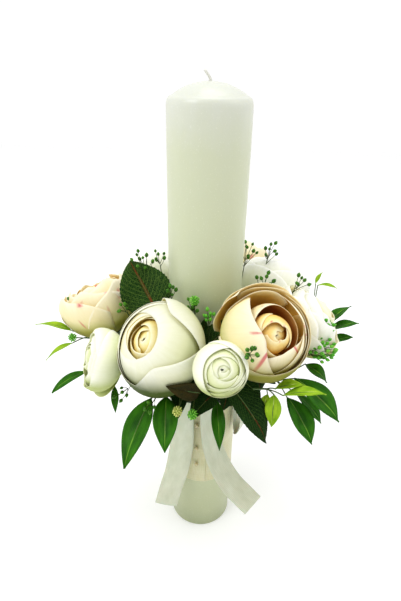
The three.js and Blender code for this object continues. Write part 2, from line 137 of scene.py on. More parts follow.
class Pile:
    """Collects sheets, tubes and beads, and turns them into one mesh object. Its marks are values
    on every point that the materials read."""

    def __init__(self):
        self.co, self.uv, self.faces, self.slots = [], [], [], []
        self.marks = {label: [] for label in ("tone", "side", "deep", "warm", "low", "blush")}
        self.count = 0

    def add(self, co, faces, uv, slot=0, **marks):
        self.co.append(co)
        self.uv.append(uv)
        for label, values in self.marks.items():
            values.append(np.broadcast_to(np.asarray(marks.get(label, 0.0), float), len(co)))
        self.faces += [[self.count + i for i in face] for face in faces]
        self.slots += [slot] * len(faces)
        self.count += len(co)

    def sheet(self, grid, thickness, slot=0, **marks):
        """A thin closed sheet over a grid of points [along, across]."""
        rows, cols = grid.shape[:2]
        n = rows * cols
        half = 0.5 * thickness * unit_vector(np.cross(np.gradient(grid, axis=1),
                                                      np.gradient(grid, axis=0)))
        co = np.concatenate([grid + half, grid - half]).reshape(-1, 3)
        uv = uv_grid(np.linspace(0, 1, rows), np.linspace(0, 1, cols))
        at = np.arange(n).reshape(rows, cols)
        top = np.stack([at[:-1, :-1], at[:-1, 1:], at[1:, 1:], at[1:, :-1]], axis=2).reshape(-1, 4)
        edge = np.concatenate([at[0], at[1:, -1], at[-1, -2::-1], at[-2:0:-1, 0]])
        ahead = np.roll(edge, -1)
        rim = np.stack([ahead, edge, n + edge, n + ahead], axis=1)
        faces = np.vstack([top, n + top[:, [0, 3, 2, 1]], rim]).tolist()
        self.add(co, faces, np.vstack([uv, uv]), slot, side=np.repeat([0.0, 1.0], n), **marks)

    def rings(self, rings, slot=0, closed=False, swap_uv=False):
        """Rings of points, each joined to the next: closed into a loop, or capped at both ends."""
        count, sides = rings.shape[:2]
        at = np.arange(count * sides).reshape(count, sides)
        if closed:
            faces = ring_faces(np.vstack([at, at[:1]]))
        else:
            faces = ring_faces(at) + [at[0, ::-1].tolist(), at[-1].tolist()]
        uv = uv_grid(np.arange(count) / (count if closed else count - 1), np.arange(sides) / sides)
        self.add(rings.reshape(-1, 3), faces, uv[:, ::-1] if swap_uv else uv, slot)

    def tube(self, points, radius, sides=6, slot=0):
        """A round rod along points, with a radius or one for each point."""
        p = np.asarray(points, float)
        tangents = unit_vector(np.gradient(p, axis=0))
        side = np.cross(tangents[0], [0.31, 0.52, 0.79])
        cos, sin = circle(sides)
        rings = []
        for point, t, r in zip(p, tangents, np.broadcast_to(radius, len(p))):
            side = unit_vector(side - np.dot(side, t) * t)
            rings.append(point + r * (cos * side + sin * np.cross(t, side)))
        self.rings(np.array(rings), slot)

    def bead(self, centre, radius, axis=(0, 0, 1), stretch=1.0, slot=0, tone=0.0, seg=8, rings=6):
        """A round bead, drawn out along its axis."""
        axis = unit_vector(axis)
        side = unit_vector(np.cross(axis, [0.63, 0.29, 0.71]))
        cos, sin = circle(seg)
        around = cos * side + sin * np.cross(axis, side)
        turn = math.pi * np.arange(1, rings)[:, None, None] / rings
        body = radius * (np.sin(turn) * around - stretch * np.cos(turn) * axis)
        pole = radius * stretch * axis
        co = centre + np.vstack([-pole, body.reshape(-1, 3), pole])
        at = 1 + np.arange((rings - 1) * seg).reshape(rings - 1, seg)
        first, last = at[0].tolist(), at[-1].tolist()
        faces = ring_faces(at) + [[0, b, a] for a, b in zip(first, first[1:] + first[:1])]
        faces += [[len(co) - 1, a, b] for a, b in zip(last, last[1:] + last[:1])]
        uv = uv_grid(np.arange(1, rings) / rings, np.arange(seg) / seg)
        self.add(co, faces, np.vstack([[0.5, 0], uv, [0.5, 1]]), slot, tone=tone)

    def lathe(self, profile, segments, wobble=lambda angles, z: 0.0):
        """A profile of (radius, height) in metres turned round the candle's axis."""
        closed = profile[0] == profile[-1]
        cos, sin = circle(segments)
        angles = 2 * math.pi * np.arange(segments)[:, None] / segments
        rings = []
        for r, z in profile[:-1] if closed else profile:
            out = r + wobble(angles, z)
            rings.append(np.hstack([out * cos, out * sin, z + 0 * angles]))
        self.rings(np.array(rings), closed=closed)

    def build(self, name, materials, body="candle", replaces=()):
        mesh = bpy.data.meshes.new(name)
        mesh.from_pydata(np.vstack(self.co).tolist(), [], self.faces)
        mesh.update()
        corner = np.zeros(len(mesh.loops), np.int32)
        mesh.loops.foreach_get("vertex_index", corner)
        uv = np.vstack(self.uv)[corner]
        mesh.uv_layers.new(name="UVMap").data.foreach_set("uv", uv.ravel())
        for label, values in self.marks.items():
            layer = mesh.attributes.new(label, "FLOAT", "POINT")
            layer.data.foreach_set("value", np.concatenate(values).astype(np.float32))
        for material in materials:
            mesh.materials.append(material)
        mesh.polygons.foreach_set("material_index", np.array(self.slots, np.int32))
        mesh.polygons.foreach_set("use_smooth", [True] * len(mesh.polygons))
        mesh.validate()
        piece = add_object(name, mesh)
        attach(piece, body)
        if replaces:
            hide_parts(*replaces)
        return piece


# ---- materials


def colour(code):
    """A screen colour such as #f3f1e0 as linear red, green, blue and alpha."""
    parts = [int(code[i:i + 2], 16) / 255 for i in (1, 3, 5)]
    return [c / 12.92 if c <= 0.04045 else ((c + 0.055) / 1.055)**2.4 for c in parts] + [1.0]


class Shader:
    """The node tree of a material or a world, with short calls for the nodes used here."""

    def __init__(self, owner, end):
        owner.use_nodes = True
        self.owner = owner
        self.tree = owner.node_tree
        self.end = self.tree.nodes[end]

    def node(self, kind, inputs=None, **settings):
        made = self.tree.nodes.new("ShaderNode" + kind)
        for key, value in settings.items():
            setattr(made, key, value)
        for key, value in (inputs or {}).items():
            self.feed(made, key, value)
        return made

    def feed(self, node, key, value):
        if isinstance(value, bpy.types.NodeSocket):
            self.tree.links.new(value, node.inputs[key])
        else:
            node.inputs[key].default_value = value

    def set(self, label, value):
        self.feed(self.end, label, value)

    def attribute(self, label):
        return self.node("Attribute", attribute_name=label).outputs["Fac"]

    def place(self, kind="UV", scale=(1, 1, 1)):
        source = self.node("TexCoord").outputs[kind]
        return self.node("Mapping", {"Vector": source, "Scale": scale}).outputs["Vector"]

    def own_place(self, **rates):
        """UV places moved by the petal's or leaf's own tone, so that no two share a pattern."""
        tone = self.attribute("tone")
        moves = {axis: self.math("MULTIPLY", tone, rate) for axis, rate in rates.items()}
        shift = self.node("CombineXYZ", moves).outputs[0]
        return self.node("VectorMath", {0: self.place(), 1: shift}, operation="ADD").outputs[0]

    def scaled(self, vector, x, y):
        return self.node("Mapping", {"Vector": vector, "Scale": (x, y, 1)}).outputs["Vector"]

    def axes(self, vector):
        return self.node("SeparateXYZ", {"Vector": vector}).outputs

    def noise(self, vector, scale, detail, roughness=0.5):
        return self.node("TexNoise", {"Vector": vector, "Scale": scale, "Detail": detail,
                                      "Roughness": roughness}).outputs["Fac"]

    def math(self, operation, a, b=0.0):
        return self.node("Math", {0: a, 1: b}, operation=operation).outputs[0]

    def varied(self, value, cloud, amount):
        """value moved up and down by a noise, by half of amount each way."""
        return self.math("ADD", value,
                         self.math("MULTIPLY", self.math("SUBTRACT", cloud, 0.5), amount))

    def ramp(self, fac, stops):
        made = self.node("ValToRGB", {"Fac": fac})
        elements = made.color_ramp.elements
        while len(elements) < len(stops):
            elements.new(0.5)
        for element, (at, value) in zip(elements, stops):
            element.position = at
            element.color = colour(value) if isinstance(value, str) else [value] * 3 + [1]
        return made.outputs["Color"]

    def mix(self, fac, a, b, blend="MIX"):
        a, b = [colour(side) if isinstance(side, str) else side for side in (a, b)]
        return self.node("Mix", {0: fac, 6: a, 7: b}, data_type="RGBA", blend_type=blend).outputs[2]

    def bump(self, height, strength, distance):
        made = self.node("Bump", {"Height": height, "Strength": strength, "Distance": distance})
        self.set("Normal", made.outputs["Normal"])


def surface(name, **sockets):
    """A new material, with its Principled sockets set."""
    s = Shader(bpy.data.materials.new(name), "Principled BSDF")
    for label, value in sockets.items():
        s.set(label.replace("_", " "), value)
    return s


def petal_material(name, outside, inside, deep, warm, under, streak=None, streak_share=0.0):
    """Printed polyester petal: a gradient from base to rim on each face; the inner face of the deep
    petals darker, partly their own amber and partly painted shade in the heart's hollow; warmer on
    the bud's; painted shade on the lower side of the bloom, which turns the outer face to the dark
    under colour; with lengthwise fibres, mottling and, on some, a brushed streak."""
    s = surface(name, Roughness=0.65, Specular_IOR_Level=0.12)
    own = s.own_place(X=17.0, Y=9.0)
    blotch = s.noise(s.scaled(own, 3, 2), 1.6, 4.0)
    fibre = s.noise(s.scaled(own, 34, 3), 1.5, 4.0, 0.6)
    along = s.varied(s.axes(s.place())["Y"], blotch, 0.22)
    # The outer face's ramp starts from the petal's own green base, deepened there to dark olive with
    # painted shade.
    front = s.mix(s.attribute("warm"), s.ramp(along, outside), s.ramp(along, warm))
    # The deep petals' inner faces take the deep ramp: the petals' own amber and, where it is darker than
    # the inside ramp, painted shade in the heart's hollow.
    back = s.mix(s.attribute("deep"), s.ramp(along, inside), s.ramp(along, deep))
    if streak:
        patch = s.noise(s.scaled(own, 7, 1.1), 1.0, 1.0, 0.4)
        mask = s.ramp(patch, [(streak_share, 0.0), (streak_share + 0.05, 0.85)])
        front = s.mix(s.math("MAXIMUM", mask, s.attribute("blush")), front, streak)
    # Painted shade: below the bloom's middle the front face turns to the dark under colour, as if lit
    # from above.
    low = s.varied(s.attribute("low"), blotch, 0.3)
    front = s.mix(s.ramp(low, [(0.1, 0.0), (0.4, 0.25), (0.75, 0.7), (0.95, 0.96)]), front, under)
    skin = s.mix(s.attribute("side"), front, back)
    s.set("Base Color", s.mix(s.ramp(fibre, [(0.35, 0.0), (0.75, 0.2)]), skin, "#e9e6c0", "MULTIPLY"))
    crinkle = s.noise(s.scaled(own, 9, 9), 1.3, 5.0)
    s.bump(s.math("ADD", s.math("MULTIPLY", fibre, 0.5), crinkle), 0.35, 0.0006)
    s.set("Roughness", s.ramp(crinkle, [(0.3, 0.55), (0.7, 0.75)]))
    return s.owner


def wax_material():
    s = surface("wax", Roughness=0.4, Subsurface_Weight=0.3, Subsurface_Scale=0.01,
                Subsurface_Radius=(1.0, 0.95, 0.7), Coat_Weight=0.3, Coat_Roughness=0.2)
    # Painted light and shade: the wax is lighter towards the dome and darker towards the foot, as if lit
    # from above.
    high = s.node("MapRange", {"Value": s.axes(s.place("Object"))["Z"], "From Min": 0.0,
                               "From Max": PILLAR_HIGH.z}).outputs[0]
    cloud = s.noise(s.place("Object", (40, 40, 18)), 1.0, 4.0)
    painted_light_by_height = s.ramp(s.varied(high, cloud, 0.08), [
        (0.0, "#99a178"), (0.06, "#b0b78e"), (0.2, "#c2c9a2"), (0.55, "#c6cda8"),
        (0.78, "#c9cfae"), (0.9, "#cbd0b4"), (0.97, "#d2d5c8")])
    fleck = s.noise(s.place("Object", (900, 900, 700)), 1.0, 2.0)
    s.set("Base Color", s.mix(s.ramp(fleck, [(0.62, 0.0), (0.8, 0.25)]), painted_light_by_height, "#fbfcf4"))
    s.set("Roughness", s.ramp(cloud, [(0.3, 0.34), (0.7, 0.5)]))
    dent = s.noise(s.place("Object", (60, 60, 22)), 1.0, 5.0)
    s.bump(s.math("ADD", dent, s.math("MULTIPLY", fleck, 0.1)), 0.25, 0.0012)
    return s.owner


def satin_material(name, shade, light, rib_scale, sheen):
    """Woven satin: fine crosswise ribs, a finer lengthwise thread and a soft sheen."""
    s = surface(name, Roughness=0.42, Sheen_Weight=sheen, Sheen_Roughness=0.35, Anisotropic=0.4,
                Subsurface_Weight=0.1, Subsurface_Scale=0.003)
    ribs = s.node("TexWave", {"Vector": s.place(), "Scale": rib_scale, "Distortion": 0.6,
                              "Detail": 2.0}, wave_type="BANDS", bands_direction="Y").outputs["Fac"]
    thread = s.noise(s.place("UV", (220, 12, 1)), 1.0, 2.0)
    cloud = s.noise(s.place("UV", (2, 5, 1)), 1.4, 4.0)
    base = s.mix(s.ramp(cloud, [(0.3, 0.0), (0.7, 1.0)]), shade, light)
    ribbed = s.mix(s.ramp(ribs, [(0.0, 0.22), (0.5, 0.0)]), base, "#b7b08a", "MULTIPLY")
    s.set("Base Color", s.mix(s.ramp(thread, [(0.4, 0.0), (0.7, 0.15)]), ribbed, "#ffffff"))
    s.set("Roughness", s.ramp(thread, [(0.3, 0.36), (0.7, 0.55)]))
    s.bump(s.math("ADD", ribs, s.math("MULTIPLY", thread, 0.5)), 0.3, 0.0003)
    return s.owner


def leaf_material(name, dark, mid, vein, rib, roughness, net=True):
    """A leaf: midrib down the middle, side veins that slant to the edge and, on a rose leaf,
    the fine net between them."""
    s = surface(name, Roughness=roughness, Specular_IOR_Level=0.04 if net else 0.1)
    parts = s.axes(s.place())
    across = s.math("ABSOLUTE", s.math("SUBTRACT", parts["X"], 0.5))
    cloud = s.noise(s.own_place(X=13.0), 3.0, 4.0)
    base = s.mix(s.ramp(cloud, [(0.3, 0.0), (0.72, 1.0)]), dark, mid)
    slant = s.math("SUBTRACT", s.math("MULTIPLY", parts["Y"], 11.0 if net else 3.0),
                   s.math("MULTIPLY", across, 9.0 if net else 16.0))
    wave = s.math("ABSOLUTE", s.math("SINE", s.math("MULTIPLY", slant, math.pi)))
    lines = s.ramp(wave, [(0.0, 1.0), (0.2 if net else 0.3, 0.0)])
    if net:
        cells = s.node("TexVoronoi", {"Vector": s.place("UV", (1, 1.6, 1)), "Scale": 26.0},
                       feature="DISTANCE_TO_EDGE").outputs["Distance"]
        lines = s.mix(0.55, lines, s.ramp(cells, [(0.0, 1.0), (0.13, 0.0)]), "SCREEN")
    veined = s.mix(s.math("MULTIPLY", lines, 0.6 if net else 0.2), base, vein)
    midrib = s.ramp(across, [(0.012, 1.0), (0.035, 0.0)])
    s.set("Base Color", s.mix(s.math("MULTIPLY", midrib, 0.85), veined, rib))
    s.bump(s.math("ADD", s.math("MULTIPLY", lines, -0.6), cloud), 0.5, 0.0005)
    s.set("Roughness", s.ramp(cloud, [(0.3, roughness - 0.08), (0.7, roughness + 0.08)]))
    return s.owner


def plain_material(name, dark, light, roughness, scale, bump, **sockets):
    """Two close colours in a fine grain, lighter where the tone mark is higher."""
    s = surface(name, Roughness=roughness, **sockets)
    cloud = s.noise(s.place("Object", (scale, scale, scale)), 1.0, 4.0)
    shade = s.math("ADD", s.ramp(cloud, [(0.3, 0.0), (0.7, 0.6)]),
                   s.math("MULTIPLY", s.attribute("tone"), 0.4))
    s.set("Base Color", s.mix(shade, dark, light))
    s.set("Roughness", s.ramp(cloud, [(0.3, roughness - 0.08), (0.7, roughness + 0.08)]))
    s.bump(cloud, bump, 0.0004)
    return s.owner


# From base to rim: the outer face, the inner face, the inner face of the deep petals, and the
# outer face of the bud's petals; then the under colour, painted shade that the lower side of the
# bloom turns to. The outer face's dark olive near the base is the petal's own green deepened with
# painted shade, and the deep ramp's darker browns are painted shade in the heart's hollow.
IVORY = dict(
    outside=[(0.3, "#5a6c18"), (0.42, "#98a35a"), (0.55, "#bfc596"), (0.72, "#dfe1ba"),
             (0.88, "#eaebd2"), (1.0, "#f0f1e2")],
    inside=[(0.0, "#d6a41c"), (0.5, "#f2d25c"), (0.85, "#fbeda8"), (1.0, "#fdf9dc")],
    deep=[(0.0, "#e0a818"), (0.6, "#f6cf50"), (0.9, "#fde888"), (1.0, "#fff6c0")],
    warm=[(0.0, "#f2be30"), (0.5, "#fad868"), (0.85, "#fdeea2"), (1.0, "#fffad8")],
    under="#3a4e06")
PEACH = dict(
    outside=[(0.28, "#86862a"), (0.4, "#b8b55c"), (0.52, "#dad592"), (0.68, "#f2e6b4"),
             (0.88, "#faeec6"), (1.0, "#fff6da")],
    inside=[(0.0, "#c47c14"), (0.45, "#e8a834"), (0.75, "#f8cc66"), (0.92, "#fbe2a0"),
            (1.0, "#fff2cc")],
    deep=[(0.0, "#7a3a10"), (0.55, "#a45c20"), (0.85, "#cf944a"), (1.0, "#f4d494")],
    warm=[(0.0, "#e09a28"), (0.5, "#f2bc50"), (0.85, "#fbdc8c"), (1.0, "#fff2c4")],
    under="#8c8a2c")
WHITE = dict(
    outside=[(0.05, "#a4ac58"), (0.2, "#d6daae"), (0.45, "#e9ecd0"), (0.75, "#f3f4e2"),
             (1.0, "#fffffa")],
    inside=[(0.0, "#c8ac38"), (0.45, "#ecd470"), (0.85, "#f8eaa4"), (1.0, "#fdfae0")],
    deep=[(0.0, "#c8bc50"), (0.6, "#ece498"), (1.0, "#f8f6d0")],
    warm=[(0.0, "#e6d880"), (0.5, "#f4ecb0"), (1.0, "#fdfae0")],
    under="#a9ad62")
GREENISH = dict(
    outside=[(0.15, "#8a9a3c"), (0.3, "#c0cc88"), (0.5, "#e2e9bc"), (0.8, "#f2f5d8"),
             (1.0, "#fcfdf0")],
    inside=[(0.0, "#a4b040"), (0.45, "#ccd870"), (0.8, "#e6eea8"), (1.0, "#f7fad8")],
    deep=[(0.0, "#6c7a14"), (0.6, "#a0ae3c"), (0.9, "#ccd67c"), (1.0, "#f2f6d0")],
    warm=[(0.0, "#c2d070"), (0.5, "#d8e2a0"), (0.85, "#e4eabc"), (1.0, "#f2f5dc")],
    under="#b8c47c")

M = {
    "wax": wax_material(),
    "wick": plain_material("wick_cotton", "#dddcd2", "#f0f0ea", 0.75, 900.0, 0.6),
    "wrap": satin_material("wrap_satin", "#cfc99a", "#dcd7ae", 26.0, 0.25),
    "ribbon": satin_material("ribbon_satin", "#c0c9ab", "#d2d9c0", 30.0, 0.2),
    "pearl": plain_material("pearl", "#b9ad7c", "#cfc498", 0.22, 200.0, 0.05, Coat_Weight=0.6),
    "metal": plain_material("pin_steel", "#8d8f90", "#b5b6b6", 0.3, 300.0, 0.1, Metallic=1.0),
    "foam": plain_material("floral_foam", "#16301a", "#2e5630", 0.95, 1400.0, 1.0),
    "tray": plain_material("tray_plastic", "#0c1d0c", "#1a3516", 0.6, 500.0, 0.25,
                           Specular_IOR_Level=0.12),
    "stem": plain_material("stem_plastic", "#3c5a20", "#64873a", 0.5, 600.0, 0.4),
    "ivory": petal_material("petal_ivory", **IVORY),
    "peach": petal_material("petal_peach", **PEACH, streak="#d9636a", streak_share=0.67),
    "white": petal_material("petal_white", **WHITE),
    "greenish": petal_material("petal_greenish", **GREENISH),
    "rose": leaf_material("leaf_rose", "#06240a", "#0e3813", "#7ea046", "#7a3c20", 0.6),
    # Painted shade: a darker copy of the rose leaf, for the leaves that lie in shade under the blooms
    # and round the foam.
    "shade": leaf_material("leaf_rose_painted_shade", "#031a06", "#08280c", "#4e6e2c", "#5a2c18", 0.6),
    "bronze": leaf_material("leaf_bronze", "#141c0a", "#3c3014", "#4c4a20", "#2c2410", 0.5),
    "ruscus": leaf_material("leaf_ruscus", "#184a04", "#387a0e", "#5a9824", "#7eb038", 0.45, False),
    "lime": leaf_material("leaf_lime", "#6ea010", "#a9cc2e", "#c6dc5c", "#d8e880", 0.5, False),
    "bud": plain_material("bud", "#1c4606", "#62a42a", 0.5, 700.0, 0.5, Specular_IOR_Level=0.2),
    "bright": plain_material("bright_bud", "#2c8a14", "#8ad84c", 0.5, 900.0, 0.6,
                             Specular_IOR_Level=0.2),
    "yellow": plain_material("yellow_bud", "#8fa832", "#dcdf84", 0.6, 900.0, 0.6,
                             Specular_IOR_Level=0.2),
    "twig": plain_material("twig", "#26380e", "#566e2a", 0.6, 700.0, 0.4, Specular_IOR_Level=0.2),
}

# ---- the candle
DOME = 14 * MM
SHOULDER = PILLAR_HIGH.z - DOME
SHOULDER_ROUND = 4 * MM
FOOT_ROUND = 1.6 * MM


def arc_top(radius):
    """Height of the pillar's shallow dome at a radius, both in metres."""
    curve = (PILLAR_R**2 + DOME**2) / (2 * DOME)
    return PILLAR_HIGH.z - curve + math.sqrt(curve**2 - radius**2)


def uneven(angles, z):
    """How far the wax stands off a true cylinder: least near the foot and over the dome."""
    if z <= 0.003:
        return 0.0
    waves = 0.12 * np.sin(2 * angles + 18 * z) + 0.08 * np.sin(5 * angles - 41 * z) - 0.15
    return MM * waves * (1.0 if 0.01 < z < SHOULDER else 0.3)


def make_pillar():
    """The wax pillar: a rounded foot, slightly uneven walls and a soft shoulder under the dome."""
    profile = [(0.002 * MM, 0.0), (0.6 * PILLAR_R, 0.0), (PILLAR_R - FOOT_ROUND, 0.0)]
    for step in range(1, 5):
        a = math.radians(22.5 * step)
        profile.append((PILLAR_R - FOOT_ROUND * (1 - math.sin(a)), FOOT_ROUND * (1 - math.cos(a))))
    bend = SHOULDER - SHOULDER_ROUND
    profile += [(PILLAR_R, z) for z in np.linspace(4 * MM, bend, 60)]
    climb = arc_top(PILLAR_R - SHOULDER_ROUND) - bend
    for step in range(1, 8):
        a = math.radians(90 * step / 7)
        profile.append((PILLAR_R - SHOULDER_ROUND * (1 - math.cos(a)), bend + climb * math.sin(a)))
    profile += [(r, arc_top(r)) for r in np.linspace(PILLAR_R - 6 * MM, 1.6 * MM, 12)]
    profile += [(1.5 * MM, arc_top(1.5 * MM) - 3 * MM), (0.01 * MM, arc_top(0) - 4 * MM)]
    pile = Pile()
    pile.lathe(profile, 128, uneven)
    pile.build("wax_pillar", [M["wax"]], replaces=["candle_pillar"])


def make_wick():
    """A braided cotton wick: three strands round each other, leaning over at the top."""
    top = WICK_HIGH.z / MM
    apex = PILLAR_HIGH.z / MM
    line = [(0, 0, apex - 8), (0, 0, apex - 2), (0, 0, apex + 1.5), (-1.6, 0, apex + 4),
            (-4.2, 0, top - 1.4)]
    middle = spline(MM * np.array(line), 28)
    pile = Pile()
    for strand in range(3):
        turn = 2 * math.pi * strand / 3 + 0.75 * np.arange(28)
        around = np.stack([np.cos(turn), np.sin(turn), 0 * turn], axis=1)
        pile.tube(middle + 0.55 * MM * around, 0.75 * MM, 8)
    pile.build("braided_wick", [M["wick"]], replaces=["wick"])


# ---- the grip and the ribbon
PIN_AZIMUTH = -98.0


def make_wrap():
    """The satin sleeve: gathered crosswise in fine ribs, with a lapped seam in front."""
    rows, cols = 150, 160
    z = np.linspace(WRAP_LOW.z + 0.3 * MM, WRAP_HIGH.z - 0.3 * MM, rows)[:, None]
    turn = np.linspace(0.0, 1.0, cols)[None, :]
    start = math.radians(PIN_AZIMUTH + 4.0)
    angle = start + turn * math.radians(372.0)
    lap = 0.45 * MM * np.clip((turn - 0.9) / 0.08, 0, 1)
    ribs = 0.14 * MM * np.sin(2 * math.pi * z / (2.6 * MM) + 0.9 * np.sin(3 * angle))
    soft = 0.12 * MM * np.sin(2 * angle + 40 * z) + 0.1 * MM * np.sin(7 * angle - 90 * z)
    hem = 0.3 * MM * (np.exp(-((z - z[0]) / (1.5 * MM))**2) + np.exp(-((z - z[-1]) / (1.5 * MM))**2))
    radius = PILLAR_R + 0.75 * MM + lap + ribs + soft + hem
    grid = np.stack([radius * np.cos(angle), radius * np.sin(angle), z + 0 * angle], axis=2)
    pile = Pile()
    pile.sheet(grid, 0.3 * MM)
    piece = pile.build("satin_wrap", [M["wrap"]], replaces=["ribbon_wrap"])


def make_pins():
    outwards = heading(PIN_AZIMUTH)
    for number in (1, 2, 3):
        low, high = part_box(f"pearl_pin_{number}")
        z = 0.5 * (low.z + high.z)
        seat = (PILLAR_R + 1.9 * MM) * outwards + np.array([0, 0, z])
        pile = Pile()
        pile.tube([seat - 14 * MM * outwards, seat + 1.0 * MM * outwards], 0.4 * MM, 8, slot=1)
        pile.bead(seat + 1.9 * MM * outwards, 2.2 * MM, outwards, 0.86, seg=24, rings=16)
        pile.build(f"pearl_headed_pin_{number}", [M["pearl"], M["metal"]],
                   replaces=[f"pearl_pin_{number}"])


RIBBON_WIDTH = 25.0
TAIL_LEFT = [
    (-21, -39, 196), (-21, -39, 176), (-21, -39.4, 142), (-23, -41, 122),
    (-27, -43, 99), (-33, -45, 76), (-39, -46.5, 50),
]
TAIL_RIGHT = [
    (8, -41, 196), (8, -41, 179), (9, -42, 159), (11, -42.5, 143), (15, -44, 127),
    (23, -49, 110), (33, -56, 97), (44, -63, 89), (55, -70, 82),
]
LOOP_RIGHT = [
    (35, -20, 206), (40, -22, 188), (44, -24, 166), (43, -22, 148),
    (39.5, -19, 140), (37, -16.5, 150), (36, -16, 175), (35.5, -15.5, 200),
]


def ribbon_piece(name, points, sides, width, cup, body, node):
    """A length of satin ribbon: slightly cupped across, with a stitched edge line and soft waves.
    sides are the ways across it, at its top and at its end."""
    line = spline(MM * np.array(points, float), 90)
    run = np.linspace(0, 1, 90)[:, None]
    v = np.linspace(-1, 1, 17)
    tangent = unit_vector(np.gradient(line, axis=0))
    side = unit_vector((1 - run) * np.array(sides[0]) + run * np.array(sides[1]))
    side = unit_vector(side - np.sum(side * tangent, axis=1, keepdims=True) * tangent)
    edge = 0.1 * MM * (np.abs(v) > 0.9)
    ripple = 0.5 * MM * np.sin(9 * run + 1.4 * v) * run
    lift = cup * MM * (v * v - 0.4) + ripple + edge
    grid = (line[:, None] + 0.5 * width * MM * v[:, None] * side[:, None]
            + lift[:, :, None] * np.cross(side, tangent)[:, None])
    pile = Pile()
    pile.sheet(grid, 0.28 * MM)
    piece = pile.build(name, [M["ribbon"]], body=body, replaces=[node])


def make_knot():
    """The bow's knot: a tight pleated pad of satin."""
    low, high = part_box("ribbon_knot")
    a = math.pi * (np.arange(29)[:, None] + 0.02) / 28.04
    b = 2 * math.pi * np.arange(40) / 40
    pleat = 1 - 0.09 * np.abs(np.sin(4 * b)) * np.sin(a)
    pinch = 1 - 0.12 * np.exp(-(np.cos(a) / 0.25)**2)
    swell = pleat * pinch * np.sin(a)
    pad = np.stack([0 * b - np.cos(a), swell * np.cos(b), swell * np.sin(b)], axis=2)
    pile = Pile()
    pile.rings(0.5 * np.array(low + high) + 0.5 * np.array(high - low) * pad, swap_uv=True)
    pile.build("satin_bow_knot", [M["ribbon"]], replaces=["ribbon_knot"])


# ---- the collar's base
COLLAR_BORE = PILLAR_R + 0.35 * MM


def make_tray(inner):
    """The dark plastic tray, with a rolled rim and ribs underneath."""
    outer = TRAY_HIGH.x
    low, high = TRAY_LOW.z, TRAY_HIGH.z
    floor = low + 2 * MM
    pile = Pile()
    pile.lathe([(inner, low), (outer - 2 * MM, low), (outer - 0.6 * MM, low + 0.4 * MM),
                (outer, low + 1.8 * MM), (outer, high - 0.5 * MM), (outer - 0.6 * MM, high),
                (outer - 1.2 * MM, high), (outer - 1.7 * MM, high - 0.5 * MM),
                (outer - 1.7 * MM, floor), (inner, floor), (inner, low)], 120)
    for azimuth in range(0, 360, 15):
        out = heading(azimuth)
        rib = [out * (inner + 3 * MM), out * (outer - 4 * MM)]
        pile.tube(rib + upright(low + 0.2 * MM), 0.5 * MM, 6)
    pile.build("collar_tray", [M["tray"]], replaces=["ring_tray"])


def crumb(angles, z):
    """The foam's rough skin, above its base."""
    if z <= FOAM_LOW.z + 3 * MM:
        return 0.0
    return 0.25 * MM * np.sin(23 * angles + 900 * z) * np.sin(31 * angles - 1300 * z)


def make_foam(inner):
    """The block of floral foam in the tray."""
    low, high = FOAM_LOW.z, FOAM_HIGH.z
    outer = FOAM_HIGH.x - 0.4 * MM
    profile = [(inner, low)]
    profile += [(r, low) for r in np.linspace(inner + 2 * MM, outer, 8)]
    profile += [(outer, z) for z in np.linspace(low + 2 * MM, high - 2 * MM, 10)]
    profile += [(r, high - 0.3 * MM) for r in np.linspace(outer - 1 * MM, inner + 1 * MM, 12)]
    profile += [(inner, high - 1 * MM), (inner, low)]
    pile = Pile()
    pile.lathe(profile, 160, crumb)
    pile.build("floral_foam", [M["foam"]], replaces=["foam_ring"])


# ---- the blooms
# The CAD cup's and ball's outlines, (radius, height) in bloom radii.
CUP = [(0, -0.8), (0.46, -0.68), (0.85, -0.34), (1, 0.02), (0.94, 0.34), (0.76, 0.54)]
BALL = CUP + [(0.5, 0.7), (0, 0.78)]
SQUASH = 0.84
STROKE_WIDTH = 2.6
TOP_ENTRY = 50.0
VIEW_RIGHT = np.array([1.0, 0.0, 0.0])


def bloom_place(name, faces):
    """The middle, radius and axes of a bloom, from its CAD node's box and the way it faces."""
    axis = heading(*faces)
    outline_points = BALL if name.startswith("ranunculus") else CUP
    low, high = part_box(f"{name}_petals")
    centre, radii = np.zeros(3), []
    for k, q in enumerate(axis):
        p = math.sqrt(max(0.0, 1 - q * q))
        up = max(r * p + h * q for r, h in outline_points)
        down = max(r * p - h * q for r, h in outline_points)
        radii.append((high[k] - low[k]) / (up + down))
        centre[k] = 0.5 * (high[k] + low[k]) - 0.5 * radii[-1] * (up - down)
    first = unit_vector(VIEW_RIGHT - np.dot(VIEW_RIGHT, axis) * axis)
    if abs(axis[0]) > 0.7:
        first = unit_vector(np.cross([0, 0, 1], axis))
    axes = np.stack([first, np.cross(axis, first), axis], axis=1)
    return centre, float(np.median(radii)), axes


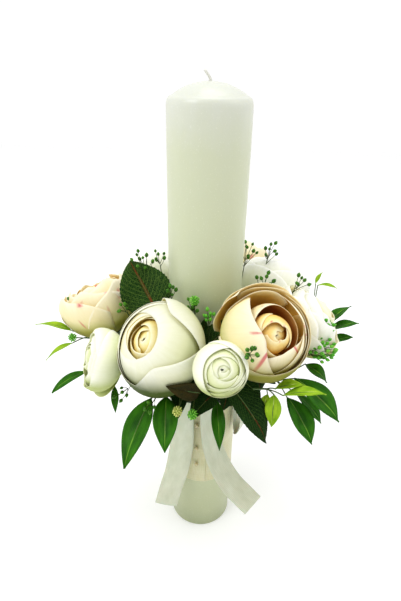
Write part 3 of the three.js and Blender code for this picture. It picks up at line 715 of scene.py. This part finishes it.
def petal_grid(at, half, tip, drop, radius, peel, lean=0.02, wave=0.012, point=0.0, base=14,
               squash=SQUASH, lift=0.0, power=2.3, phase=0.0, shift=(0.0, 0.0), cols=25):
    """One cupped petal on the bloom's ball, in bloom radii. at and half are its middle and half
    width round the axis; tip is how far its rim reaches, from 0 at the calyx to 180 at the heart.
    drop rounds the rim's corners, lean tucks one edge under the next petal, peel stands the rim
    off the ball, point draws its middle out, and shift turns the whole petal so that the heart's
    place moves right and up."""
    v, u = np.meshgrid(np.linspace(0, 1, 26), np.linspace(-1, 1, cols), indexing="ij")
    rim = tip - drop * np.abs(u)**power + point * np.exp(-(u / 0.18)**2)
    rim = rim + 60 * wave * (np.sin(5.1 * u + phase) + 0.6 * np.sin(11.3 * u + 2 * phase))
    theta = np.radians(base + (rim - base) * v)
    phi = np.radians(at + half * u)
    edge = np.clip(np.abs(u) - 0.7, 0, 1)
    r = radius * (1 + lean * u - 0.12 * edge**2) + peel * v**4 * (1 - 0.4 * u * u)
    r = r + wave * v * v * (np.sin(4.3 * u + 3 * v + phase) + 0.5 * np.sin(9.7 * u - phase))
    r = r + 0.006 * np.sin(7 * v + 5 * u + 3 * phase)
    x = r * np.sin(theta) * np.cos(phi)
    y = r * np.sin(theta) * np.sin(phi)
    z = lift - r * squash * np.cos(theta)
    right, up = np.arcsin(shift)
    x, z = x * np.cos(right) + z * np.sin(right), z * np.cos(right) - x * np.sin(right)
    y, z = y * np.cos(up) + z * np.sin(up), z * np.cos(up) - y * np.sin(up)
    return np.stack([x, y, z], axis=2)


def petal(at, half, tip, drop, radius, peel=0.04, **more):
    """One petal's settings for petal_grid, with its marks and brush strokes."""
    return dict(at=at, half=half, tip=tip, drop=drop, radius=radius, peel=peel, **more)


def globe(rng, layers, start=110, rise=12, count=4, shrink=0.022, **extra):
    """Rounds of petals, each a little inside the last and closing a little further over it."""
    petals = []
    turn = rng.uniform(0, 360)
    for layer in range(layers):
        for k in range(count):
            petals.append(dict(petal(
                turn + 360 * k / count + rng.uniform(-9, 9), 180 / count + 24 + rng.uniform(-4, 6),
                start + rise * layer + rng.uniform(-6, 6), rng.uniform(26, 46),
                1 - shrink * layer + rng.uniform(-0.006, 0.006), 0.05 - 0.008 * layer,
                phase=rng.uniform(0, 6), lean=0.018), **extra))
        turn += 180 / count + rng.uniform(-10, 10)
    return petals


def core(rng, count, size, lift, start=112, turn=0, squash=0.95, spin=137, shrink=0.42, **marks):
    """The closed bud in the middle: petals wound round it, each a little further over its top."""
    petals = []
    for k in range(count):
        share = k / (count - 1)
        petals.append(petal(
            turn + spin * k + rng.uniform(-10, 10), 100 + rng.uniform(-12, 12) + 62 * share**3,
            start + (178 - start) * share**0.8, 26 - 22 * share, size * (1 - shrink * share), 0.012,
            squash=squash, base=45, lift=lift, lean=0.05, wave=0.008, phase=rng.uniform(0, 6),
            warm=1.0, **marks))
    return petals


def shrinking(petals, first, step):
    """The same petals, each on a ball a step smaller than the one before."""
    for k, one in enumerate(petals):
        one["radius"] = first - step * k
    return petals


def wide_open(rng):
    """The ivory peony in front: closed rounds, with its opening and dark bud set to one side."""
    aside = dict(shift=(-0.1, 0.07))
    flat = dict(wave=0.004, lean=0.006)
    bud = core(rng, 6, 0.52, 0.34, start=128, turn=100, deep=1.0, squash=0.82, **aside)
    return [
        petal(40, 62, 135, 62, 1.035, 0.02, power=1.8, **flat),
        petal(-70, 68, 141, 56, 1.015, 0.004, power=1.8, **flat),
        petal(-116, 70, 118, 40, 1.005, 0.004, **flat),
        petal(-160, 60, 117, 42, 0.99, 0.005, **flat),
        petal(130, 84, 123, 36, 0.975, 0.008, **flat),
        petal(138, 84, 137, 30, 0.96, 0.006, **flat),
        petal(-22, 150, 153, 22, 0.945, 0.0, power=4, cols=41, **aside, **flat),
        petal(-150, 100, 156, 26, 0.925, 0.005, warm=0.3, **aside, **flat),
        petal(110, 100, 151, 20, 0.905, 0.008, deep=1.0, warm=0.5, **aside, **flat),
        petal(150, 100, 157, 14, 0.885, 0.008, deep=1.0, warm=0.8, **aside, **flat),
    ] + bud


def half_open(rng):
    """The peach peony in front: flared petals behind, amber ones inside and brushed pink edges."""
    aside = (0.1, 0.04)
    bud = core(rng, 5, 0.5, 0.36, start=132, turn=190, squash=0.86, spin=-130, point=7,
               shift=(0.14, -0.01))
    bud[0]["strokes"] = [(-0.3, 0.86, 0.12), (0.28, 0.95, 0.05)]
    bud[1]["strokes"] = [(0.5, 0.97, 0.03)]
    bud[2]["strokes"] = [(-0.1, 0.98, 0.04)]
    return [
        petal(-92, 86, 126, 34, 1.02, 0.02, power=2.6),
        petal(130, 44, 100, 36, 1.06, 0.1, point=10),
        petal(90, 54, 102, 26, 1.03, 0.15),
        petal(62, 60, 109, 26, 0.97, 0.14, strokes=[(0.2, 0.96, 0.03)]),
        petal(104, 52, 112, 20, 0.84, 0.2, strokes=[(-0.1, 0.88, 0.03), (0.3, 0.95, 0.03)]),
        petal(20, 64, 112, 34, 1.02, 0.04),
        petal(-8, 64, 120, 32, 0.985, 0.03),
        petal(16, 62, 127, 28, 0.945, 0.03, strokes=[(0.0, 0.99, 0.02)]),
        petal(-30, 62, 132, 28, 0.915, 0.02),
        petal(200, 82, 159, 50, 0.97, 0.0, power=2.2, wave=0.004, cols=61, shift=aside,
              strokes=[(-0.22, 0.95, 0.05), (0.5, 0.9, 0.07)]),
        petal(-66, 66, 150, 24, 0.88, 0.0, shift=aside),
        petal(72, 128, 126, 14, 0.64, 0.02, base=50, lift=0.22, deep=1.0, warm=0.2, cols=41,
              shift=(0.3, 0.26), strokes=[(0.42, 0.9, 0.04)]),
    ] + bud


def ruffled(rng):
    outer = globe(rng, 3, start=94, rise=15, count=4, wave=0.05, peel=0.1)
    outer += globe(rng, 3, start=134, rise=9, count=3, wave=0.035, peel=0.04)
    return shrinking(outer, 1.0, 0.019) + core(rng, 6, 0.55, 0.25)


def pointed_cup(rng):
    outer = globe(rng, 3, start=110, rise=9, count=4, point=11, peel=0.1)
    outer += globe(rng, 2, start=130, rise=12, count=4, point=7, peel=0.03)
    for k, one in enumerate(outer):
        one["strokes"] = [(0.5 - 0.3 * (k % 4), 0.97, 0.04), (0.3 * (k % 3) - 0.4, 0.8, 0.06)]
    return shrinking(outer, 1.0, 0.016) + core(rng, 7, 0.55, 0.15)


def soft_globe(rng):
    return globe(rng, 5, start=112, rise=10, count=4) + core(rng, 6, 0.5, 0.3)


def ranunculus_bud(rng):
    outer = [
        petal(-100, 50, 84, 24, 1.2, 0.02, squash=0.7),
        petal(4, 100, 112, 34, 1.02, 0.0, wave=0.006),
        petal(180, 100, 118, 26, 1.0, 0.03),
        petal(88, 76, 120, 24, 0.985, 0.02),
        petal(-80, 80, 116, 26, 0.97, 0.03),
    ]
    inner = globe(rng, 3, start=122, rise=8, count=3, peel=0.01)
    return outer + shrinking(inner, 0.94, 0.03) + core(rng, 6, 0.5, 0.2)


def ranunculus(rng):
    outer = [petal(150, 100, 138, 30, 1.0, 0.0, wave=0.006, power=3),
             petal(40, 76, 130, 32, 1.01, 0.01, wave=0.006)]
    for k in range(6):
        outer.append(petal(-62 + 17 * math.sin(2.2 * k), 84 - 4 * k, 106 + 5.2 * k, 30,
                           1.0 - 0.021 * k, 0.02, wave=0.01, phase=1.7 * k))
    outer.append(petal(-50, 120, 134, 18, 0.87, 0.01, deep=1.0))
    return outer + core(rng, 7, 0.77, 0.2, start=130, squash=0.82, spin=118, shrink=0.3,
                        shift=(0.02, 0.03))


# Which way each bloom faces, (azimuth, elevation), as its CAD cup does, then its petals, their
# finish and how far it is stretched along its own axes.
ROUND = (1.0, 1.0, 1.0)
BLOOMS = {
    "peony_front_left": ((-124, 44), wide_open, "ivory", (0.97, 1.06, 1.0)),
    "peony_front_right": ((-76, 34), half_open, "peach", ROUND),
    "peony_right": ((3, 39), ruffled, "white", ROUND),
    "peony_left": ((144, 60), pointed_cup, "peach", ROUND),
    "peony_right_back": ((59, 53), soft_globe, "white", ROUND),
    "peony_back_left": ((125, 50), soft_globe, "white", ROUND),
    "peony_back_right": ((60, 50), pointed_cup, "peach", ROUND),
    "ranunculus_front": ((-85, 32), ranunculus, "greenish", ROUND),
    "ranunculus_left": ((-166, 18), ranunculus_bud, "greenish", (1.06, 1.15, 1.0)),
    "ranunculus_back": ((97, 35), ranunculus, "greenish", ROUND),
}


def add_petals(pile, petals, centre, radius, axes, rng, stretch):
    for one in petals:
        deep, warm = one.pop("deep", 0.0), one.pop("warm", 0.0)
        strokes = one.pop("strokes", [])
        grid = petal_grid(**one) * np.array(stretch)
        v = np.linspace(0, 1, grid.shape[0])[:, None]
        u = np.linspace(-1, 1, grid.shape[1])
        blush = np.zeros(grid.shape[:2])
        for across, along, length in strokes:
            wide = STROKE_WIDTH / one["half"]
            blush = np.maximum(blush, np.exp(-((u - across) / wide)**2 - ((v - along) / length)**4))
        world = centre + radius * grid @ axes.T
        # Painted shade: how far each point lies below the bloom's middle, which darkens the bloom's
        # lower side.
        painted_shade_below = np.clip(0.08 + (centre[2] - world[:, :, 2]) / (0.55 * radius), 0, 1)
        pile.sheet(world, 0.35 * MM, tone=rng.uniform(0, 1), deep=deep, warm=warm,
                   low=np.tile(painted_shade_below.ravel(), 2), blush=np.tile(blush.ravel(), 2))


def add_stem(pile, centre, radius, axis):
    """The calyx under a bloom, with five pointed sepals, and its stem down into the foam."""
    seat = centre - 0.82 * radius * axis
    outward = unit_vector([centre[0], centre[1], 0])
    if seat[2] < FOAM_TOP * MM:
        mouth = outward * (FOAM_HIGH.x + 2 * MM) + upright(SIDE_ENTRY * MM)
        foot = outward * (FOAM_HIGH.x - STEM_DEPTH * MM) + upright(SIDE_ENTRY * MM)
    else:
        mouth = outward * TOP_ENTRY * MM + upright((FOAM_TOP + 3) * MM)
        foot = outward * TOP_ENTRY * MM + upright((FOAM_TOP - STEM_DEPTH) * MM)
    pile.tube(spline([seat, seat - 5 * MM * axis, mouth, foot], 22), 1.3 * MM, 8, slot=1)
    pile.bead(seat - 1.5 * MM * axis, 0.16 * radius, axis, 0.9, slot=1, seg=14, rings=8)
    side = unit_vector(np.cross(axis, [0.2, 0.5, 0.84]))
    t = np.linspace(0, 1, 9)[:, None, None]
    w = np.linspace(-1, 1, 5)[:, None]
    bend = np.radians(8 + 44 * t)
    wide = 0.13 * radius * np.sin(math.pi * (0.15 + 0.85 * t))
    for cos, sin in zip(*circle(5)):
        out = cos * side + sin * np.cross(axis, side)
        spine = centre + 1.03 * radius * (np.sin(bend) * out - SQUASH * np.cos(bend) * axis)
        pile.sheet(spine + w * wide * np.cross(axis, out), 0.4 * MM, slot=1)


def make_blooms():
    for number, (name, (faces, petals_of, finish, stretch)) in enumerate(BLOOMS.items()):
        rng = np.random.default_rng(40 + number)
        centre, radius, axes = bloom_place(name, faces)
        pile = Pile()
        add_petals(pile, petals_of(rng), centre, radius, axes, rng, stretch)
        add_stem(pile, centre, radius, axes[:, 2])
        nodes = [f"{name}_petals", f"{name}_stem"]
        if name.startswith("peony"):
            nodes.append(f"{name}_heart")
        pile.build(f"{name}_bloom", [M[finish], M["stem"]], replaces=nodes)


# ---- the foliage
TO_FRONT = (0, -0.85, 0.5)
# Each spray: where its stalk leaves the foam, at the top (azimuth, reach) or the side (azimuth);
# its fork; and its blades, (base, tip, width), with the way the face looks and the arch if need be.
SPRAYS = {
    "rose_leaf_left": dict(finish="rose", top=(-156, 44), blades=[
        ((-158, 48, 284), (176, 72, 326), 48, TO_FRONT, 0.04)]),
    "rose_leaf_centre": dict(finish="rose", top=(-92, 41), fork=(-92, 40, 254), blades=[
        ((-92, 50, 262), (-61, 60, 301), 26, TO_FRONT, 0.05),
        ((-94, 40, 259), (-90, 40, 290), 14, (0, -1, 0.2), 0.02)]),
    # The front and under rose leaves take the shade finish: the rose leaf with painted shade.
    "rose_leaf_front": dict(finish="shade", top=(-76, 57), fork=(-78, 84, 258), blades=[
        ((-79, 97, 262), (-68, 132, 225), 29)]),
    "rose_leaf_bronze": dict(finish="bronze", top=(-99, 57), fork=(-93, 80, 244), blades=[
        ((-92, 93, 250), (-105, 114, 270), 15, TO_FRONT)]),
    "rose_leaf_under": dict(finish="shade", side=-86, blades=[((-84, 84, 240), (-96, 103, 229), 22)]),
    "rose_leaf_back_left": dict(finish="rose", side=116, blades=[((114, 92, 246), (112, 134, 222), 28)]),
    "rose_leaf_back_right": dict(finish="rose", side=50, blades=[((48, 94, 246), (46, 136, 224), 28)]),
    "ruscus_front_left": dict(finish="ruscus", side=-114, fork=(-114, 82, 236), blades=[
        ((-118, 96, 236), (-116, 144, 201), 22), ((-111, 90, 238), (-104, 127, 213), 21)]),
    "ruscus_front": dict(finish="ruscus", side=-80, blades=[((-82, 81, 232), (-83, 114, 206), 12)]),
    "ruscus_front_right": dict(finish="ruscus", side=-42, fork=(-42, 90, 238), blades=[
        ((-45, 105, 231), (-48, 139, 205), 21), ((-36, 106, 225), (-37, 133, 207), 14),
        ((-38, 103, 244), (-40, 150, 224), 24), ((-24, 104, 245), (-28, 127, 237), 17)]),
    "ruscus_right": dict(finish="ruscus", side=-2, fork=(-2, 104, 240), blades=[
        ((0, 122, 262), (2, 146, 282), 15), ((-2, 124, 258), (-3, 152, 270), 14),
        ((-6, 122, 248), (-5, 147, 257), 12)]),
    "ruscus_left": dict(finish="ruscus", side=-156, fork=(-154, 100, 234), blades=[
        ((-158, 120, 233), (-154, 153, 225), 11), ((-144, 101, 228), (-136, 110, 212), 7)]),
    "ruscus_back": dict(finish="ruscus", side=84, fork=(84, 86, 236), blades=[
        ((80, 98, 236), (76, 146, 206), 22), ((90, 94, 236), (94, 134, 208), 20)]),
    "lime_leaf_left": dict(finish="lime", side=-176, fork=(-175, 116, 250), blades=[
        ((-176, 132, 256), (-177, 167, 262), 11), ((-171, 130, 249), (-168, 156, 236), 8)]),
    "lime_leaf_front_right": dict(finish="lime", side=-60, fork=(-60, 104, 253), blades=[
        ((-58, 110, 256), (-50, 127, 263), 13), ((-58, 120, 256), (-48, 144, 262), 12),
        ((-60, 114, 254), (-65, 128, 236), 13), ((-61, 108, 251), (-67, 119, 239), 9)]),
    "lime_leaf_right": dict(finish="lime", side=14, fork=(13, 118, 254), blades=[
        ((17, 124, 290), (12, 140, 290), 7), ((19, 124, 290), (20, 132, 301), 5)]),
}

# Points along and across a toothed leaf of each kind; the others are smooth, and have 40 by 15.
TOOTHED = {"rose": (86, 23), "bronze": (60, 17), "filler": (34, 9)}


def outline(toothed, t):
    """Half width of a blade along its length, at most 1."""
    if toothed:
        body = np.sin(np.pi * t**0.72)**0.75
        return np.maximum(body * (1 + 0.05 * ((t * 17) % 1.0 - 0.5)), 0.03)
    return np.maximum(np.sin(np.pi * t**0.86)**0.95, 0.03)


def add_blade(pile, kind, base, tip, width, face=(0, 0, 1), arch=0.1, tone=0.0):
    """One leaf blade between two places round the candle, with its midrib underneath."""
    a, c = polar(*base), polar(*tip)
    along = c - a
    side = unit_vector(np.cross(np.array(face, float), along))
    rise = unit_vector(np.cross(along, side))
    rows, cols = TOOTHED.get(kind, (40, 15))
    line = quadratic(a, 0.5 * (a + c) + rise * 2 * arch * np.linalg.norm(along), c, rows)
    t = np.linspace(0, 1, rows)[:, None]
    v = np.linspace(-1, 1, cols)
    half = 0.5 * width * MM * outline(kind in TOOTHED, t)
    out = np.abs(v)
    if kind in ("rose", "bronze"):
        ridge = 0.198 * MM * np.sin(2 * math.pi * (t * 11 - out * 2.25)) * (1 - out)
    else:
        ridge = 0.12 * MM * np.sin(3 * math.pi * out)
    rib = -0.35 * MM * np.exp(-(v / 0.08)**2)
    sway = 0.04 * width * MM * np.sin(7 * t + 3 * tone + 2 * v)
    twist = 0.25 * math.sin(5 * tone)
    lift = 0.18 * half * out**1.3 + rib + ridge + sway + twist * half * v * t
    normal = unit_vector(np.cross(np.gradient(line, axis=0), side))
    grid = line[:, None] + side * (v * half)[:, :, None] + normal[:, None] * lift[:, :, None]
    pile.sheet(grid, 0.4 * MM, tone=tone)
    reach = int(rows * 0.9)
    radii = np.linspace(0.55, 0.15, reach) * MM * (1.0 if width > 12 else 0.6)
    pile.tube(line[:reach] - 0.3 * MM * rise, radii, 6, slot=1)


def add_stalk(pile, spray):
    """A spray's stalk from the foam to its fork, and a short stalk on to each blade."""
    if "top" in spray:
        start = from_foam(*spray["top"], 4)
    else:
        start = [polar(spray["side"], FOAM_RADIUS - STEM_DEPTH, SIDE_ENTRY),
                 polar(spray["side"], FOAM_RADIUS + 4, SIDE_ENTRY + 0.5)]
    feet = [polar(*blade[0]) for blade in spray["blades"]]
    fork = polar(*spray["fork"]) if "fork" in spray else feet[0]
    pile.tube(spline([*start, fork], 16), 0.85 * MM, 7, slot=1)
    if "fork" in spray:
        for foot in feet:
            middle = 0.5 * (fork + foot) + upright(1.5 * MM)
            pile.tube(quadratic(fork, middle, foot, 8), 0.55 * MM, 6, slot=1)


def make_foliage():
    for number, (name, spray) in enumerate(SPRAYS.items()):
        rng = np.random.default_rng(90 + number)
        finish = spray["finish"]
        kind = "rose" if finish == "shade" else finish
        pile = Pile()
        add_stalk(pile, spray)
        for blade in spray["blades"]:
            add_blade(pile, kind, *blade, tone=rng.uniform(0, 1))
        pile.build(f"{name}_leaves", [M[finish], M["stem"]], replaces=[name])


# Small leaves tucked in all round, in the rose leaf's finish darkened with painted shade, which cover
# the foam and the tray's rim. Each round: how many, the heights of base and tip over the foam's
# top, the tip's reach, the width and the turn.
FILLER_ROUNDS = [(22, -5, -22, 74, 15, 0), (20, -1, -9, 84, 15, 9), (18, 1, 9, 74, 14, 2)]


def make_filler():
    rng = np.random.default_rng(77)
    pile = Pile()
    for count, low, high, reach, width, lead in FILLER_ROUNDS:
        for k in range(count):
            azimuth = 360 * k / count + lead + rng.uniform(-4, 4)
            base = (azimuth, FOAM_RADIUS - 4, FOAM_TOP + low)
            tip = (azimuth + rng.uniform(-13, 13), reach + rng.uniform(-4, 4),
                   FOAM_TOP + high + rng.uniform(-3, 3))
            add_blade(pile, "filler", base, tip, width + rng.uniform(-2, 3), heading(azimuth, 35),
                      0.16, rng.uniform(0, 1))
    add_blade(pile, "filler", (-107, 64, 240), (-103, 97, 223), 17, tone=0.4)
    pile.build("filler_leaves", [M["shade"], M["stem"]])


# ---- the bud sprigs
# Where each sprig leaves the foam, the middle of its cluster, its spread in millimetres, how many
# buds it has and their kind.
SPRIGS = {
    "bud_sprig_left": ((170, 45), (176, 60, 324), 13, 14, "bud"),
    "bud_sprig_front": ((-106, 42), (-104, 46, 304), 7, 7, "bud"),
    "bud_sprig_back": ((42, 42), (34, 49, 328), 11, 11, "bud"),
    "bud_sprig_right": ((-36, 57), (-30, 60, 322), 9, 8, "bud"),
    "bud_sprig_near_left": ((150, 44), (152, 52, 322), 7, 6, "bud"),
    "bud_sprig_by_candle": ((-132, 43), (-134, 44, 313), 6, 6, "bud"),
    "bud_sprig_low_left": ((-136, 57), (-138, 99, 226), 8, 6, "bud"),
    "bud_sprig_low_front": ((-116, 57), (-113, 112, 243), 6, 5, "bud"),
    "bud_sprig_on_left": ((-163, 50), (-160, 80, 292), 6, 5, "bud"),
    "bud_sprig_far_left": ((-178, 55), (-179, 131, 280), 8, 6, "bud"),
    "bud_sprig_top_right": ((14, 45), (22, 68, 330), 9, 8, "bud"),
    "bud_sprig_right_mid": ((-22, 50), (-12, 88, 318), 8, 6, "bud"),
    "bud_sprig_right_low": ((-32, 57), (-29, 116, 270), 12, 44, "bright"),
    "bud_sprig_right_edge": ((-24, 57), (-22, 114, 286), 8, 20, "bright"),
    "bud_sprig_front_right": ((-70, 52), (-73, 116, 302), 6, 8, "bud"),
    "bud_sprig_centre": ((-84, 50), (-87, 56, 301), 6, 8, "bright"),
}
# The sprigs that the CAD model holds too.
CAD_SPRIGS = {"bud_sprig_left", "bud_sprig_front", "bud_sprig_back", "bud_sprig_right"}
# Each fuzzy bud: where its stem leaves the foam, its middle, its size across and its finish.
FUZZ = {
    "fuzzy_bud_centre": ((-100, 43), (-102, 46, 311), 8.5, "bright"),
    "fuzzy_bud_low": ((-101, 57), (-101, 110, 243), 8, "yellow"),
    "fuzzy_bud_low_right": ((-95, 57), (-95, 104, 236), 8, "bright"),
    "fuzzy_bud_left": ((-171, 57), (-172, 130, 254), 8, "bright"),
}
GOLDEN_TURN = 2.399963   # in radians, the angle that spreads a spiral's points evenly


def scatter(rng, count):
    """Roughly even directions over a ball, turned at random."""
    offset = rng.uniform(0, 6.28)
    for i in range(count):
        z = 1 - 2 * (i + 0.5) / count
        a = offset + GOLDEN_TURN * i
        r = math.sqrt(1 - z * z)
        yield np.array([r * math.cos(a), r * math.sin(a), z])


def make_sprigs():
    """Twigs that each hold a cluster of small round buds, with a pale tip on every bud."""
    for number, (name, (root, tip, spread, count, finish)) in enumerate(SPRIGS.items()):
        rng = np.random.default_rng(200 + number)
        foot, mouth = from_foam(*root, 6)
        crown = polar(*tip)
        spread *= MM
        outward = unit_vector(crown - mouth)
        fork = crown - 1.1 * spread * outward
        pile = Pile()
        pile.tube(spline([foot, mouth, fork], 20), np.linspace(0.75, 0.5, 20) * MM, 6, slot=1)
        for way in scatter(rng, count):
            bud = crown + spread * rng.uniform(0.55, 1.0) * (way + 0.35 * outward)
            start = fork + outward * spread * rng.uniform(-0.4, 0.5)
            bend = 0.5 * (start + bud) + 0.2 * spread * rng.uniform(-1, 1, 3)
            line = quadratic(start, bend, bud, 8)
            end = unit_vector(line[-1] - line[-2])
            pile.tube(line, np.linspace(0.32, 0.22, 8) * MM, 5, slot=1)
            size = rng.uniform(1.35, 1.85) * MM
            pile.bead(bud, size, end, 1.15, tone=rng.uniform(-0.4, 0.6), seg=9, rings=7)
            pile.bead(bud + 1.05 * size * end, 0.4 * size, tone=1.2, seg=6, rings=4)
        pile.build(f"{name}_buds", [M[finish], M["twig"]],
                   replaces=[name] if name in CAD_SPRIGS else ())


def make_fuzzy_buds():
    """Round buds covered in short bristles, each with a bead on its end."""
    for number, (name, (root, place, size, finish)) in enumerate(FUZZ.items()):
        rng = np.random.default_rng(300 + number)
        centre = polar(*place)
        radius = 0.5 * size * MM
        pile = Pile()
        pile.tube(spline([*from_foam(*root, 4), centre], 18), 0.55 * MM, 6, slot=1)
        pile.bead(centre, 0.55 * radius, seg=14, rings=10)
        for way in scatter(rng, 46):
            tip = centre + radius * rng.uniform(0.78, 1.02) * way
            pile.tube([centre + 0.4 * radius * way, tip], 0.05 * radius, 4)
            pile.bead(tip, 0.17 * radius, way, 1.2, seg=6, rings=4, tone=rng.uniform(0, 2.4))
        pile.build(name, [M[finish], M["twig"]])


# ---- stage, light and camera


def make_stage():
    mesh = bpy.data.meshes.new("studio_floor")
    half = 3.0
    mesh.from_pydata([(-half, -half, 0), (half, -half, 0), (half, half, 0), (-half, half, 0)], [],
                     [(0, 1, 2, 3)])
    white = surface("floor_white", Roughness=0.9, Base_Color=(0.92, 0.92, 0.92, 1),
                    Emission_Color=(1, 1, 1, 1), Emission_Strength=0.14)
    mesh.materials.append(white.owner)
    add_object("studio_floor", mesh)


def area_light(name, place, power):
    data = bpy.data.lights.new(name, "AREA")
    data.shape = "SQUARE"
    data.size = 0.7
    data.energy = power
    lamp = add_object(name, data)
    lamp.location = place
    aim = Vector((0, 0, 0.28)) - Vector(place)
    lamp.rotation_euler = aim.to_track_quat("-Z", "Y").to_euler()


def make_lights():
    """Three soft lamps, in a white world that is dimmer towards the front."""
    world = bpy.data.worlds.new("studio")
    bpy.context.scene.world = world
    s = Shader(world, "Background")
    way = s.node("TexCoord").outputs["Generated"]
    dim = s.node("MapRange", {"Value": s.axes(way)["Y"], "From Min": -0.9, "From Max": 0.1,
                              "To Min": 0.6, "To Max": 1.02})
    s.set("Color", (1, 1, 1, 1))
    s.set("Strength", dim.outputs[0])
    area_light("key_light", (-0.9, -0.7, 1.5), 9)
    area_light("fill_light", (1.1, -0.3, 1.2), 2.5)
    area_light("top_light", (0.1, 0.3, 1.6), 4)


# The camera's place in metres, how far it looks down and leans in degrees, and its focal length.
CAMERA = dict(place=(-0.0043, -0.3771, 0.4835), down=27.41, lean=1.11, lens=26.0)


def make_camera():
    data = bpy.data.cameras.new("camera")
    data.sensor_width = 36.0
    data.lens = CAMERA["lens"]
    data.clip_start = 0.01
    down, lean = math.radians(CAMERA["down"]), math.radians(CAMERA["lean"])
    forward = Vector((0, math.cos(down), -math.sin(down)))
    right = Vector((1, 0, 0))
    up = right.cross(forward)
    right, up = (right * math.cos(lean) + up * math.sin(lean),
                 up * math.cos(lean) - right * math.sin(lean))
    turn = Matrix((right, up, -forward)).transposed().to_4x4()
    camera = add_object("camera", data)
    camera.matrix_world = Matrix.Translation(CAMERA["place"]) @ turn
    bpy.context.scene.camera = camera
    bpy.context.scene.view_settings.view_transform = "Standard"


make_camera()
make_stage()
make_lights()
make_pillar()
make_wick()
make_wrap()
make_pins()
make_knot()
ribbon_piece("satin_tail_left", TAIL_LEFT, [(0.97, -0.24, 0), (0.89, 0.04, -0.45)],
             RIBBON_WIDTH, 1.2, "tail_left", "ribbon_tail_left")
ribbon_piece("satin_tail_right", TAIL_RIGHT, [(0.8, 0.6, 0), (0.25, 0.58, 0.78)],
             RIBBON_WIDTH, 1.2, "tail_right", "ribbon_tail_right")
ribbon_piece("satin_loop_right", LOOP_RIGHT, [(0.45, 0.89, 0), (0.45, 0.89, 0)],
             18.0, 0.6, "candle", "ribbon_loop_right")
make_tray(COLLAR_BORE)
make_foam(COLLAR_BORE)
make_blooms()
make_foliage()
make_filler()
make_sprigs()
make_fuzzy_buds()
